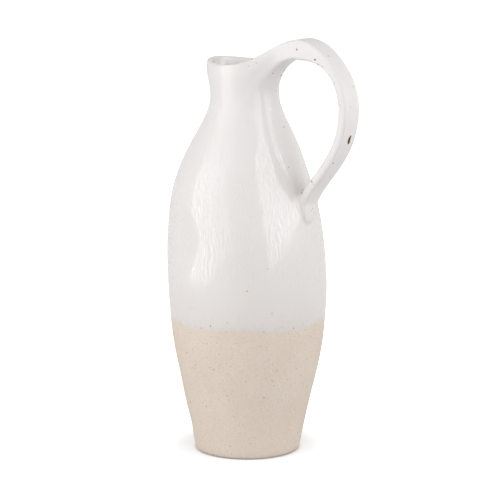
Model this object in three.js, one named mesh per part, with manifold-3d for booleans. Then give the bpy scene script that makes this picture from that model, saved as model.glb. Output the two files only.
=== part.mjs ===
// Stoneware jug: a thrown vessel with a pulled pouring lip, a tapering strap handle luted on with slip
// at the rim and the shoulder, and a white glaze over everything above a wavy dip line.
// Millimetres, +Z up, origin at the centre of the foot, handle towards +X, pouring lip towards -X.
import * as THREE from "three";
import { mergeVertices } from "three/addons/utils/BufferGeometryUtils.js";
import Module from "manifold-3d";

const wasm = await Module();
wasm.setup();

// Thrown vessel, outside of the clay
const footRadius = 44.5;
const heelRadius = 48.6;
const heelHeight = 6;
const bellyRadius = 70.6;
const bellyHeight = 166;
const neckRadius = 29.8;
const neckHeight = 327;
const lipRadius = 31.2;
const lipHeight = 353;

// How full the wall runs between those stations, as shares of the height between them
const heelLean = 0.197;
const heelPull = 0.583;
const bellyPullDown = 0.39;
const bellyPullUp = 0.662;
const neckPullDown = 0.209;
const neckPullUp = 0.45;

// Inside of the vessel
const wallThickness = 6.5;
const lipThickness = 5;
const floorThickness = 9;
const floorRound = 16;

// Hand work on the soft clay: the pouring lip, the rim drawn up to the handle, and the sway of the wall
const spoutReach = 4.5;
const spoutLift = 2.8;
const spoutSpread = 0.8;
const rimRise = 11.5;
const rimSpread = 0.85;
const shoulderSway = 4;
const shoulderHeight = 254;
const neckSway = 2.2;
const swayTurn = 3.79;

// Glaze
const glazeThickness = 0.6;
const seatGap = 0.3;
const dipHeight = 122.6;
const dipWave = 1.3;
const dipHighSide = -0.995;
const liningTop = 6;

// Strap handle: stations of its centre line, placed from the rim, the neck and the shoulder
const rootDrop = 5;
const rootInset = 5;
const rootClimb = 13;
const apexRise = 17;
const apexOut = 35.2;
const loopDrop = 33.5;
const loopOut = 80.7;
const seatDrop = 95;
const tailBow = 7.8;
const tailAside = 3.5;
const tongueLength = 18;

// Strap handle: width and thickness at those stations
const rootWidth = 46;
const rootThickness = 25;
const rootFlare = 4;
const apexWidth = 21;
const apexThickness = 17;
const loopWidth = 20.5;
const loopThickness = 8;
const seatWidth = 19;
const seatThickness = 7.5;
const tongueWidth = 8;
const tongueThickness = 3;
const tongueProud = 2.4;

// Slip that lutes the strap to the vessel
const slipThickness = 0.8;

// Mesh fineness
const turnSteps = 34;
const outsideRings = [6, 11, 4];
const insideRings = [4, 8, 3];
const lipSteps = 6;
const strapSteps = [9, 9, 11, 5];
const quarter = Math.PI / 2;
const roundShare = 0.5523;

const clay = { color: 0xd5c8bb, roughness: 0.85, metalness: 0 };
const glaze = { color: 0xdcd6d2, roughness: 0.22, metalness: 0 };

function ease(from, to, value) {
  return THREE.MathUtils.smoothstep(value, from, to);
}

function point(r, z) {
  return new THREE.Vector2(r, z);
}

// The three runs of the wall, heel to belly, belly to neck and neck to lip, for given radii
function wallRuns(heel, belly, neck, lip, lipTop) {
  const low = bellyHeight - heelHeight;
  const high = neckHeight - bellyHeight;
  const top = lipTop - neckHeight;
  return [
    new THREE.CubicBezierCurve(
      point(heel, heelHeight),
      point(heel + heelLean * heelPull * low, heelHeight + heelPull * low),
      point(belly, bellyHeight - bellyPullDown * low),
      point(belly, bellyHeight),
    ),
    new THREE.CubicBezierCurve(
      point(belly, bellyHeight),
      point(belly, bellyHeight + bellyPullUp * high),
      point(neck, neckHeight - neckPullDown * high),
      point(neck, neckHeight),
    ),
    new THREE.CubicBezierCurve(
      point(neck, neckHeight),
      point(neck, neckHeight + neckPullUp * top),
      point(lip, lipTop - neckPullUp * top),
      point(lip, lipTop),
    ),
  ];
}

const lipRound = lipThickness / 2;
const lipShoulder = lipHeight - lipRound;
const outside = wallRuns(heelRadius, bellyRadius, neckRadius, lipRadius, lipShoulder);
const inside = wallRuns(
  heelRadius - wallThickness,
  bellyRadius - wallThickness,
  neckRadius - wallThickness,
  lipRadius - lipThickness,
  lipShoulder,
);

// Every ring of a wall from the heel to the lip, moved outwards by grow
function wallRings(runs, grow) {
  const rings = [];
  const steps = runs === outside ? outsideRings : insideRings;
  runs.forEach((run, index) => {
    const points = run.getPoints(steps[index]);
    rings.push(...(index ? points.slice(1) : points));
  });
  return rings.map((p) => point(p.x + grow, p.y));
}

// Radius of a wall at a height, found by halving
function radiusAt(runs, height) {
  const run = runs.find((r) => r.v3.y >= height) ?? runs[runs.length - 1];
  let low = 0;
  let high = 1;
  for (let i = 0; i < 40; i += 1) {
    const middle = (low + high) / 2;
    if (run.getPoint(middle).y < height) low = middle;
    else high = middle;
  }
  return run.getPoint(low).x;
}

// Rounded top of the lip, from the outside over to the inside
function lipArc(grow) {
  const arc = [];
  for (let i = 1; i < lipSteps; i += 1) {
    const turn = (Math.PI * i) / lipSteps;
    const r = lipRadius - lipRound + (lipRound + grow) * Math.cos(turn);
    arc.push(point(r, lipShoulder + (lipRound + grow) * Math.sin(turn)));
  }
  return arc;
}

// Sideways sway of the wall, out at the shoulder and partly back at the neck
function swayAt(z) {
  const out = shoulderSway * ease(bellyHeight - 30, shoulderHeight, z);
  return out - (shoulderSway - neckSway) * ease(shoulderHeight, neckHeight - 15, z);
}

// Height of the dip line round the vessel
function dipOffset(angle) {
  return dipWave * (Math.cos(5 * (angle - dipHighSide)) - 0.6 * Math.cos(angle));
}

// Bend a turned shape by hand: pull the lip, draw the rim up, sway the wall
function handWork(geometry) {
  const position = geometry.attributes.position;
  for (let i = 0; i < position.count; i += 1) {
    const x = position.getX(i);
    const y = position.getY(i);
    const z = position.getZ(i);
    const r = Math.hypot(x, y);
    const angle = Math.atan2(y, x);
    const pull = ease(neckHeight - 12, lipHeight, z);
    const spout = Math.exp(-(((Math.PI - Math.abs(angle)) / spoutSpread) ** 2));
    const rise = Math.exp(-((angle / rimSpread) ** 2));
    const wide = r + (r > 1 ? spoutReach * spout * pull : 0);
    const lift = r > 1 ? (spoutLift * spout + rimRise * rise) * pull : 0;
    const sway = swayAt(z);
    position.setXYZ(
      i,
      wide * Math.cos(angle) + sway * Math.cos(swayTurn),
      wide * Math.sin(angle) + sway * Math.sin(swayTurn),
      z + lift,
    );
  }
  return geometry;
}

// Turn a closed or axis-to-axis profile about Z and merge its seams
function turned(profile) {
  const geometry = new THREE.LatheGeometry(profile, turnSteps);
  geometry.rotateX(quarter);
  geometry.deleteAttribute("normal");
  geometry.deleteAttribute("uv");
  return mergeVertices(geometry, 1e-4);
}

function solid(geometry) {
  const merged = mergeVertices(geometry, 1e-4);
  return new wasm.Manifold(new wasm.Mesh({
    numProp: 3,
    vertProperties: new Float32Array(merged.attributes.position.array),
    triVerts: new Uint32Array(merged.index.array),
  }));
}

function meshGeometry(manifold) {
  const mesh = manifold.getMesh();
  const geometry = new THREE.BufferGeometry();
  geometry.setAttribute("position", new THREE.BufferAttribute(new Float32Array(mesh.vertProperties), 3));
  geometry.setIndex(new THREE.BufferAttribute(new Uint32Array(mesh.triVerts), 1));
  return geometry;
}

// Rounded edge under the wall, from the flat of the foot up to the heel
function footEdge(grow) {
  const edge = new THREE.QuadraticBezierCurve(
    point(footRadius + grow, 0),
    point(heelRadius + grow - heelLean * heelHeight, 0),
    point(heelRadius + grow, heelHeight),
  );
  return edge.getPoints(4).slice(0, -1);
}

// The vessel filled solid and grown on all sides by grow, as a cutter for pieces that lie against it
function filledVessel(grow) {
  const profile = [
    point(0, 0),
    ...footEdge(grow),
    ...wallRings(outside, grow),
    ...lipArc(grow).slice(0, lipSteps / 2),
    point(0, lipHeight + grow),
  ];
  return solid(handWork(turned(profile)));
}

// Hollow clay vessel
function vesselBody() {
  const cornerTop = floorThickness + floorRound;
  const cornerRadius = radiusAt(inside, cornerTop);
  const corner = new THREE.QuadraticBezierCurve(
    point(cornerRadius, cornerTop),
    point(radiusAt(inside, floorThickness), floorThickness),
    point(cornerRadius - 1.6 * floorRound, floorThickness),
  );
  const lining = wallRings(inside, 0).reverse().filter((p) => p.y > cornerTop + 2);
  return handWork(turned([
    point(0, 0),
    ...footEdge(0),
    ...wallRings(outside, 0),
    ...lipArc(0),
    ...lining,
    ...corner.getPoints(6),
    point(0, floorThickness),
  ]));
}

// Glaze from the dip line up the outside and over the lip
function outerCoat() {
  const near = seatGap;
  const far = seatGap + glazeThickness;
  const above = wallRings(outside, 0).filter((p) => p.y > dipHeight + 2 * dipWave + 2);
  const edge = radiusAt(outside, dipHeight);
  const face = (grow) => [
    point(edge + grow, dipHeight),
    ...above.map((p) => point(p.x + grow, p.y)),
    ...lipArc(grow),
  ];
  const profile = [...face(far), ...face(near).reverse()];
  profile.push(profile[0].clone());
  const geometry = turned(profile);
  const position = geometry.attributes.position;
  for (let i = 0; i < position.count; i += 1) {
    if (Math.abs(position.getZ(i) - dipHeight) > 0.01) continue;
    const angle = Math.atan2(position.getY(i), position.getX(i));
    const z = dipHeight + dipOffset(angle);
    const r = Math.hypot(position.getX(i), position.getY(i)) + radiusAt(outside, z) - edge;
    position.setXYZ(i, r * Math.cos(angle), r * Math.sin(angle), z);
  }
  return handWork(geometry);
}

// Glaze poured round the inside, up to just under the lip
function innerCoat() {
  const cornerTop = floorThickness + floorRound;
  const cornerRadius = radiusAt(inside, cornerTop);
  const top = lipShoulder - liningTop;
  const face = (grow) => {
    const corner = new THREE.QuadraticBezierCurve(
      point(cornerRadius - grow, cornerTop + grow),
      point(radiusAt(inside, floorThickness) - grow, floorThickness + grow),
      point(cornerRadius - 1.6 * floorRound, floorThickness + grow),
    );
    const wall = wallRings(inside, -grow).filter((p) => p.y > cornerTop + 2 && p.y < top - 2);
    return [
      point(0, floorThickness + grow),
      ...corner.getPoints(6).reverse(),
      ...wall,
      point(radiusAt(inside, top) - grow, top),
    ];
  };
  const profile = [...face(seatGap), ...face(seatGap + glazeThickness).reverse()];
  return handWork(turned(profile));
}

// Glazed face of the wall on the handle's side
function wallFace(z) {
  return radiusAt(outside, z) + swayAt(z) * Math.cos(swayTurn) + seatGap + glazeThickness;
}

// Centre line of the strap, one curve between each two stations
function strapRuns() {
  const rootHeight = lipHeight - rootDrop;
  const seatHeight = neckHeight - seatDrop;
  const endHeight = seatHeight - tongueLength;
  const root = point(wallFace(rootHeight) - rootInset, rootHeight);
  const apex = point(neckRadius + apexOut, lipHeight + apexRise);
  const loop = point(neckRadius + loopOut, lipHeight - loopDrop);
  const seat = point(wallFace(seatHeight) + tongueProud, seatHeight);
  const end = point(wallFace(endHeight) + 0.4 * tongueProud, endHeight);
  const across = loop.x - apex.x;
  const drop = apex.y - loop.y;
  const fall = loop.y - seat.y;
  return [
    new THREE.CubicBezierCurve(
      root,
      point(root.x + 0.54 * rootClimb, root.y + rootClimb),
      point(apex.x - 0.42 * (apex.x - root.x), apex.y),
      apex,
    ),
    new THREE.CubicBezierCurve(
      apex,
      point(apex.x + roundShare * across, apex.y),
      point(loop.x, loop.y + roundShare * drop),
      loop,
    ),
    new THREE.CubicBezierCurve(
      loop,
      point(loop.x, loop.y - 0.5 * fall),
      point(seat.x + tailBow, seat.y + 0.27 * fall),
      seat,
    ),
    new THREE.CubicBezierCurve(
      seat,
      point(seat.x - 0.25 * tongueProud, seat.y - 0.3 * tongueLength),
      point(end.x, end.y + 0.3 * tongueLength),
      end,
    ),
  ];
}

// Half of the section from the middle of the outer face to the middle of the inner face, as shares of
// half the width and half the thickness: a crown, a shallow groove, an edge bead, then the back
const halfSection = [
  [0, 1],
  [0.34, 0.96],
  [0.6, 0.86],
  [0.78, 0.94],
  [0.92, 0.78],
  [1, 0.25],
  [0.97, -0.4],
  [0.82, -0.84],
  [0.45, -1],
];
const section = [
  ...halfSection,
  [0, -1],
  ...halfSection.slice(1).reverse().map(([across, out]) => [-across, out]),
];

// Width and thickness along one run of the strap
function strapSize(run, share) {
  if (run === 0) {
    const flare = (1 - share) ** rootFlare;
    return [
      apexWidth + (rootWidth - apexWidth) * flare,
      apexThickness + (rootThickness - apexThickness) * flare,
    ];
  }
  if (run === 1) {
    const s = ease(0, 1, share);
    return [
      THREE.MathUtils.lerp(apexWidth, loopWidth, s),
      THREE.MathUtils.lerp(apexThickness, loopThickness, s),
    ];
  }
  if (run === 2) {
    return [
      THREE.MathUtils.lerp(loopWidth, seatWidth, share),
      THREE.MathUtils.lerp(loopThickness, seatThickness, share),
    ];
  }
  const round = Math.sqrt(1 - share * share);
  return [
    tongueWidth + (seatWidth - tongueWidth) * round,
    THREE.MathUtils.lerp(seatThickness, tongueThickness, ease(0, 1, share)),
  ];
}

// How far the neck falls back behind its front at a distance to the side
function wrapDepth(side) {
  return neckRadius - Math.sqrt(neckRadius ** 2 - Math.min(side ** 2, 0.9 * neckRadius ** 2));
}

// Loft of the strap, grown on all sides by grow
function strapLoft(grow) {
  const rings = [];
  strapRuns().forEach((run, index) => {
    for (let i = index ? 1 : 0; i <= strapSteps[index]; i += 1) {
      const share = i / strapSteps[index];
      const centre = run.getPointAt(share);
      const along = run.getTangentAt(share);
      const [width, thickness] = strapSize(index, share);
      const wrap = index ? 0 : (1 - share) ** 2;
      const aside = tailAside * ease(2, 3, index + share);
      rings.push({ centre, along, wrap, aside, half: width / 2, deep: thickness / 2 });
    }
  });
  rings[0].centre.addScaledVector(rings[0].along, -grow);
  rings[rings.length - 1].centre.addScaledVector(rings[rings.length - 1].along, grow);
  const positions = [];
  rings.forEach(({ centre, along, wrap, aside, half, deep }) => {
    section.forEach(([across, out], index) => {
      const turn = (2 * Math.PI * index) / section.length;
      const wide = THREE.MathUtils.lerp(across, Math.sin(turn), wrap);
      const high = THREE.MathUtils.lerp(out, Math.cos(turn), wrap);
      const back = wrap * wrapDepth(wide * half);
      const rise = high * (deep + grow);
      positions.push(
        centre.x - along.y * rise - back,
        wide * (half + grow) + aside,
        centre.y + along.x * rise,
      );
    });
  });
  const faces = [];
  const count = section.length;
  for (let i = 0; i + 1 < rings.length; i += 1) {
    for (let j = 0; j < count; j += 1) {
      const next = (j + 1) % count;
      const a = i * count + j;
      const b = i * count + next;
      faces.push(a, a + count, b, b, a + count, b + count);
    }
  }
  const first = positions.length / 3;
  const last = first + 1;
  const end = rings[rings.length - 1].centre;
  positions.push(rings[0].centre.x, 0, rings[0].centre.y, end.x, tailAside, end.y);
  const base = (rings.length - 1) * count;
  for (let j = 0; j < count; j += 1) {
    const next = (j + 1) % count;
    faces.push(first, j, next, last, base + next, base + j);
  }
  const geometry = new THREE.BufferGeometry();
  geometry.setAttribute("position", new THREE.Float32BufferAttribute(positions, 3));
  geometry.setIndex(faces);
  return solid(geometry);
}

const coatOut = seatGap + glazeThickness;
const slipOut = seatGap + slipThickness;
const bareStrap = strapLoft(0);
const coatedStrap = strapLoft(coatOut);
const innerVessel = filledVessel(seatGap);
const slipVessel = filledVessel(slipOut);
const clearVessel = filledVessel(slipOut + seatGap);

// Bare strap, ending just short of the slip at both ends
const strap = bareStrap.subtract(clearVessel);

// Slip between the strap and the wall, one film at the rim and one at the shoulder
const slipFilms = bareStrap.intersect(slipVessel.subtract(innerVessel)).decompose();
const slipAbove = (film) => film.boundingBox().min[2] > bellyHeight + 0.6 * (neckHeight - bellyHeight);
const upperSlip = slipFilms.filter(slipAbove);
const lowerSlip = slipFilms.filter((film) => !slipAbove(film));

// Glaze round the strap, down to the wall, and the opening for it in the outer coat
const strapCoat = coatedStrap.subtract(strapLoft(seatGap)).subtract(innerVessel);
const bodyCoat = solid(outerCoat()).subtract(strapLoft(coatOut + seatGap));

function largest(pieces) {
  return pieces.reduce((best, piece) => (piece.volume() > best.volume() ? piece : best));
}

const group = new THREE.Group();
group.name = "stoneware_jug";

function add(name, geometry, finish) {
  const mesh = new THREE.Mesh(geometry, new THREE.MeshStandardMaterial(finish));
  mesh.name = name;
  group.add(mesh);
}

add("stoneware_body", vesselBody(), clay);
add("strap_handle", meshGeometry(largest(strap.decompose())), clay);
add("upper_slip_joint", meshGeometry(largest(upperSlip)), clay);
add("lower_slip_joint", meshGeometry(largest(lowerSlip)), clay);
add("outer_glaze", meshGeometry(largest(bodyCoat.decompose())), glaze);
add("inner_glaze", innerCoat(), glaze);
add("handle_glaze", meshGeometry(largest(strapCoat.decompose())), glaze);

export default group;
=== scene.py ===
import bpy
import bmesh
from math import atan2, cos, exp, hypot, pi, radians, sin, sqrt
from mathutils import Matrix, Vector, noise
from mathutils.bvhtree import BVHTree


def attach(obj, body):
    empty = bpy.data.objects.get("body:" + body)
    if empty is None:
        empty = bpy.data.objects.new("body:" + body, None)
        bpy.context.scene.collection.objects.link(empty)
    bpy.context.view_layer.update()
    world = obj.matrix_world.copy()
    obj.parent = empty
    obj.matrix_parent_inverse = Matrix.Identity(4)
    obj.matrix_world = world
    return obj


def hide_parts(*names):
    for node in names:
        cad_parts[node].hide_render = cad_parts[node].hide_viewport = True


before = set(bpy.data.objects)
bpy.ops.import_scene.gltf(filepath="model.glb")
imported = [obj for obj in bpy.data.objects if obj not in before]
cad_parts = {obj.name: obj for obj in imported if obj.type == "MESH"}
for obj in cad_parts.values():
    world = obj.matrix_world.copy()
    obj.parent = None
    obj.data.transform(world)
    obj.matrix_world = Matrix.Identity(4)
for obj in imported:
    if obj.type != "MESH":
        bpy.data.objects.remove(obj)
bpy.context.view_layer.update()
mm = 0.001
print("frame loaded:", sorted(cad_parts))


# camera, lengths in metres

shot = {
    "turn": 37.0,  # degrees round from the side of the jug towards its handle
    "distance": 2.262,
    "height": 0.62,
    "aimHeight": 0.1832,
    "aside": 0.00244,
    "lens": 183.3, "sensor": 36,  # mm
    "clipEnd": 50,
    "photoWidth": 500,  # pixels, and as many high
}
towardsCamera = Vector((sin(radians(shot["turn"])), -cos(radians(shot["turn"])), 0))
viewRight = Vector((cos(radians(shot["turn"])), sin(radians(shot["turn"])), 0))


def aim(thing, target):
    thing.rotation_euler = (target - thing.location).to_track_quat("-Z", "Y").to_euler()


def placeCamera():
    camera = bpy.data.objects.new("camera", bpy.data.cameras.new("camera"))
    bpy.context.scene.collection.objects.link(camera)
    slide = viewRight * shot["aside"]
    camera.location = towardsCamera * shot["distance"] + Vector((0, 0, shot["height"])) + slide
    aim(camera, Vector((0, 0, shot["aimHeight"])) + slide)
    camera.data.lens = shot["lens"]
    camera.data.sensor_width = shot["sensor"]
    camera.data.clip_end = shot["clipEnd"]
    bpy.context.scene.camera = camera


placeCamera()
print("camera placed")


# thrown vessel, all lengths in mm

vessel = {
    "footRadius": 44.5,
    "heelRadius": 48.6, "heelHeight": 6,
    "bellyRadius": 70.6, "bellyHeight": 166,
    "neckRadius": 29.8, "neckHeight": 327,
    "lipRadius": 31.2, "lipHeight": 353,
    "heelLean": 0.197, "heelPull": 0.583,  # fullness of the wall between those stations
    "bellyPullDown": 0.39, "bellyPullUp": 0.662,
    "neckPullDown": 0.209, "neckPullUp": 0.45,
    "wall": 6.5, "lip": 5, "floor": 9, "floorRound": 16, "floorSpread": 1.6,
    "spoutReach": 4.5, "spoutLift": 2.8, "spoutSpread": 0.8,  # pulled pouring lip
    "rimRise": 11.5, "rimSpread": 0.85,  # rim drawn up to the handle
    "pullDepth": 12,  # both start this far under the neck's height
    "shoulderSway": 4, "shoulderHeight": 254, "neckSway": 2.2, "swayTurn": 3.79,
    "swayStart": 30, "swayEnd": 15,  # under the heights of belly and neck
    "lumpSize": 46, "lumpDepth": 0.42,  # unevenness left by the hands
    "fineLumps": (0.22, 2.7),  # a finer kind over it: share of the depth, fineness
    "evenFoot": 30,  # height over which the unevenness sets in
    # finger dents, and low swellings where the depth is below 0: turn, height, size, depth
    "dents": [(-1.78, 198, 24, 3), (-1.8, 165, 20, -2.2), (-1.85, 236, 26, -2),
              (0.65, 98, 50, -1.7), (0.65, 215, 55, -0.8), (0.65, 290, 26, -1.2),
              (-2.45, 14, 22, 1.5)],
    "poleRadius": 1,  # points this near the axis stay where they are
    "turnSteps": 128, "footSteps": 7, "lipSteps": 8, "cornerSteps": 6,
    "outerStep": 4, "innerStep": 6, "innerGap": 2,  # rings of the wall, and free of its inner ends
}
halvings = 40  # to find a height on a curve
weld = 0.01  # mm, points closer than this become one


def smooth(low, high, value):
    share = min(max((value - low) / (high - low), 0), 1)
    return share * share * (3 - 2 * share)


def mix(a, b, share):
    return a + (b - a) * share


def onCurve(run, t):
    s = 1 - t
    return [s**3 * a + 3 * s * s * t * b + 3 * s * t * t * c + t**3 * d for a, b, c, d in zip(*run)]


def onBend(start, corner, end, t):
    parts = zip(start, corner, end)
    return tuple((1 - t) ** 2 * a + 2 * t * (1 - t) * b + t * t * c for a, b, c in parts)


def wallRuns(heel, belly, neck, lip):
    v = vessel
    heelZ, bellyZ, neckZ = v["heelHeight"], v["bellyHeight"], v["neckHeight"]
    lipZ = v["lipHeight"] - v["lip"] / 2
    low, high, top = bellyZ - heelZ, neckZ - bellyZ, lipZ - neckZ
    return [
        [(heel, heelZ),
         (heel + v["heelLean"] * v["heelPull"] * low, heelZ + v["heelPull"] * low),
         (belly, bellyZ - v["bellyPullDown"] * low), (belly, bellyZ)],
        [(belly, bellyZ), (belly, bellyZ + v["bellyPullUp"] * high),
         (neck, neckZ - v["neckPullDown"] * high), (neck, neckZ)],
        [(neck, neckZ), (neck, neckZ + v["neckPullUp"] * top),
         (lip, lipZ - v["neckPullUp"] * top), (lip, lipZ)],
    ]


radii = [vessel[label] for label in ("heelRadius", "bellyRadius", "neckRadius", "lipRadius")]
outside = wallRuns(*radii)
inside = wallRuns(*[r - vessel["wall"] for r in radii[:-1]], radii[-1] - vessel["lip"])


def radiusAt(runs, z):
    run = next((r for r in runs if r[3][1] >= z), runs[-1])
    low, high = 0, 1
    for _ in range(halvings):
        middle = (low + high) / 2
        if onCurve(run, middle)[1] < z:
            low = middle
        else:
            high = middle
    return onCurve(run, low)[0]


def swayAt(z):
    v = vessel
    out = v["shoulderSway"] * smooth(v["bellyHeight"] - v["swayStart"], v["shoulderHeight"], z)
    back = smooth(v["shoulderHeight"], v["neckHeight"] - v["swayEnd"], z)
    return out - (v["shoulderSway"] - v["neckSway"]) * back


def lumpsAt(spot):
    share, fineness = vessel["fineLumps"]
    broad = spot / vessel["lumpSize"]
    out = vessel["lumpDepth"] * (noise.noise(broad) + share * noise.noise(broad * fineness))
    r = hypot(spot.x, spot.y)
    for turn, z, size, depth in vessel["dents"]:
        away = (spot - Vector((r * cos(turn), r * sin(turn), z))).length
        out -= depth * exp(-(away / size) ** 2)
    return out


# what the hands did to the turned wall: lip, rim, sway and small lumps
def handWork(verts):
    v = vessel
    for vert in verts:
        x, y, z = vert.co
        r, turn = hypot(x, y), atan2(y, x)
        if r < v["poleRadius"]:
            continue
        pull = smooth(v["neckHeight"] - v["pullDepth"], v["lipHeight"], z)
        spout = exp(-((pi - abs(turn)) / v["spoutSpread"]) ** 2)
        rise = exp(-(turn / v["rimSpread"]) ** 2)
        lumps = lumpsAt(vert.co) * smooth(0, v["evenFoot"], z)
        wide = r + v["spoutReach"] * spout * pull + lumps
        sway = swayAt(z)
        vert.co = (
            wide * cos(turn) + sway * cos(v["swayTurn"]),
            wide * sin(turn) + sway * sin(v["swayTurn"]),
            z + (v["spoutLift"] * spout + v["rimRise"] * rise) * pull)


# lay a profile in the XZ plane and turn it round Z
def throwProfile(bm, profile, steps):
    line = [bm.verts.new((r, 0, z)) for r, z in profile]
    edges = [bm.edges.new(pair) for pair in zip(line, line[1:])]
    bmesh.ops.spin(bm, geom=line + edges, axis=(0, 0, 1), cent=(0, 0, 0),
                   angle=2 * pi, steps=steps, use_merge=True)
    bmesh.ops.remove_doubles(bm, verts=bm.verts, dist=weld)
    bmesh.ops.recalc_face_normals(bm, faces=bm.faces)


def floorCorner(grow, steps):
    v = vessel
    top = v["floor"] + v["floorRound"]
    edge = radiusAt(inside, top)
    start = (edge - grow, top + grow)
    corner = (radiusAt(inside, v["floor"]) - grow, v["floor"] + grow)
    end = (edge - v["floorSpread"] * v["floorRound"], v["floor"] + grow)
    return [onBend(start, corner, end, i / steps) for i in range(steps + 1)]


def lipArc(grow, steps):
    v = vessel
    half = v["lip"] / 2
    return [(v["lipRadius"] - half + (half + grow) * cos(pi * i / steps),
             v["lipHeight"] - half + (half + grow) * sin(pi * i / steps)) for i in range(1, steps)]


def newPiece(bm, name):
    mesh = bpy.data.meshes.new(name)
    bm.to_mesh(mesh)
    bm.free()
    piece = bpy.data.objects.new(name, mesh)
    bpy.context.scene.collection.objects.link(piece)
    return piece


def finishPiece(bm, name):
    bmesh.ops.scale(bm, vec=(mm, mm, mm), verts=bm.verts)
    piece = newPiece(bm, name)
    piece.data.polygons.foreach_set("use_smooth", [True] * len(piece.data.polygons))
    return piece


def makeClayBody():
    v = vessel
    start = (v["footRadius"], 0)
    corner = (v["heelRadius"] - v["heelLean"] * v["heelHeight"], 0)
    heel = (v["heelRadius"], v["heelHeight"])
    foot = [onBend(start, corner, heel, i / v["footSteps"]) for i in range(v["footSteps"])]
    lipTop = int(v["lipHeight"] - v["lip"] / 2)
    floorTop = v["floor"] + v["floorRound"]
    outer = [(radiusAt(outside, z), z) for z in range(v["heelHeight"], lipTop, v["outerStep"])]
    down = range(lipTop - v["innerGap"], floorTop + v["innerGap"], -v["innerStep"])
    inner = [(radiusAt(inside, z), z) for z in down]
    profile = [(0, 0), (v["footRadius"] / 2, 0)] + foot + outer + lipArc(0, v["lipSteps"])
    profile += inner + floorCorner(0, v["cornerSteps"]) + [(0, v["floor"])]
    bm = bmesh.new()
    throwProfile(bm, profile, v["turnSteps"])
    handWork(bm.verts)
    return finishPiece(bm, "clayBody")


clayBody = makeClayBody()
print("clay body thrown:", len(clayBody.data.polygons), "faces")


# strap handle, all lengths in mm

strap = {
    "rootDrop": 5, "rootInset": 5, "rootClimb": 13,
    "apexRise": 17, "apexOut": 33,
    "loopDrop": 33.5, "loopOut": 80.7, "loopRound": 0.55,
    "seatDrop": 95, "tailBow": 7.8, "tailAside": 3.5, "tongueLength": 18,
    "rootPull": (0.54, 0.42), "fallPull": (0.5, 0.27), "tonguePull": (0.25, 0.3),  # fullness of the path
    "pathPoints": 80, "pathSamples": 400,
    # width and thickness
    "rootSize": (46, 25), "apexSize": (21, 16.8), "loopSize": (20.5, 7.2),
    "seatSize": (20, 6.4), "tongueSize": (8, 3),
    "tongueProud": 2.4, "tongueEndProud": 0.4,  # the second is a share of the first
    "rootFlare": 2.4, "rootWaist": 3.2,  # power of the flare, thickness taken off halfway along it
    "taperEnd": 0.55,  # share of the second run
    "wrapLimit": 0.9,  # of the neck's squared radius, how far round it the root may reach
    # half of the section: crown, groove, edge bead, side, back
    "section": [(0, 0.98), (0.3, 0.96), (0.56, 0.9), (0.76, 0.97), (0.91, 0.86),
                (1, 0.45), (1, -0.1), (0.985, -0.62), (0.84, -0.95), (0.42, -1), (0, -1)],
    "flatSection": [(0, 1), (0.32, 0.995), (0.62, 0.98), (0.84, 0.94), (0.97, 0.8),
                    (1.02, 0.4), (1.02, -0.12), (1, -0.62), (0.84, -0.95), (0.42, -1), (0, -1)],
    "flatten": (2.2, 2.75),  # stretch over which the one becomes the other
    # slices along the strap: station of the outer face, station of the inner face
    "slices": [(0.85, 0.78),
               *[(at, at) for at in (1, 1.14, 1.28, 1.42, 1.57, 1.71, 1.86, 2)],
               *[(at, at) for at in (2.12, 2.25, 2.37, 2.5, 2.62)],
               (2.74, 2.73), (2.84, 2.81), (2.93, 2.845), (3.05, 2.87), (3.45, 2.89)],
    "rootShares": (0.17, 0.36, 0.57, 0.79),  # rings between the rim and the first slice
    "rootSweep": 1.12,
    # edge of the tongue and its foot on the wall: distance to the side, height, how far it stands proud
    "tongueEdge": [(0, 215, 1.2), (4.2, 215.4, 1.2), (7, 217, 1.3), (8.8, 219.6, 1.6),
                   (9.9, 222.4, 1.9), (10.6, 226, 2.1), (11, 229.6, 2.2), (11, 233.4, 2.2),
                   (10.2, 238.2, 1.9), (5.8, 241.6, 1.3), (0, 242.6, 1.2)],
    "tongueFoot": [(0, 211.6, 0), (5.6, 212, 0), (9.6, 213.8, 0), (12.2, 217, 0),
                   (13.6, 221, 0), (14.4, 225.4, 0), (14.8, 230, 0), (14.6, 235, 0),
                   (13.2, 240.6, 0), (7.8, 245.4, 0), (0, 247.2, 0)],
    "farSideProud": 0.6,
    # clay inside the glaze: stations in the rim, then shares of the glazed section
    "clayRoot": (0.38, 0.6), "clayRootShare": 0.55, "clayShare": 0.84,
    "clayTailShare": 0.8, "clayTailSunk": 1.5,
}

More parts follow.
